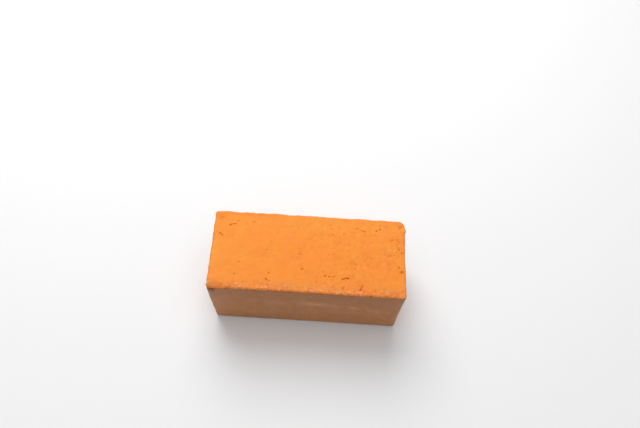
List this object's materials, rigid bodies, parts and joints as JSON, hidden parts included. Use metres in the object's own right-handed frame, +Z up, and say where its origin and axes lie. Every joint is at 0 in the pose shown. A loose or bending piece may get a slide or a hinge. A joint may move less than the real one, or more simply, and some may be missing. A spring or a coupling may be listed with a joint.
{
  "type": "pineapple cake",
  "caption": "Uncut bar of short, sandy pastry baked golden on every side, with soft rims, fine cracks and pits in its top and a flat underside.",
  "frame": {"origin": "centre of the flat underside", "axes": "+X along the bar's length, +Y across it towards the back with the worn corner at +X +Y, +Z up through the cracked top"},
  "size_m": [0.0706, 0.031, 0.0294],
  "materials": {
    "crust": "matt golden-orange baked crust with a fine sandy grain"
  },
  "bodies": {
    "root": {"cake": "crust"}
  },
  "joints": []
}
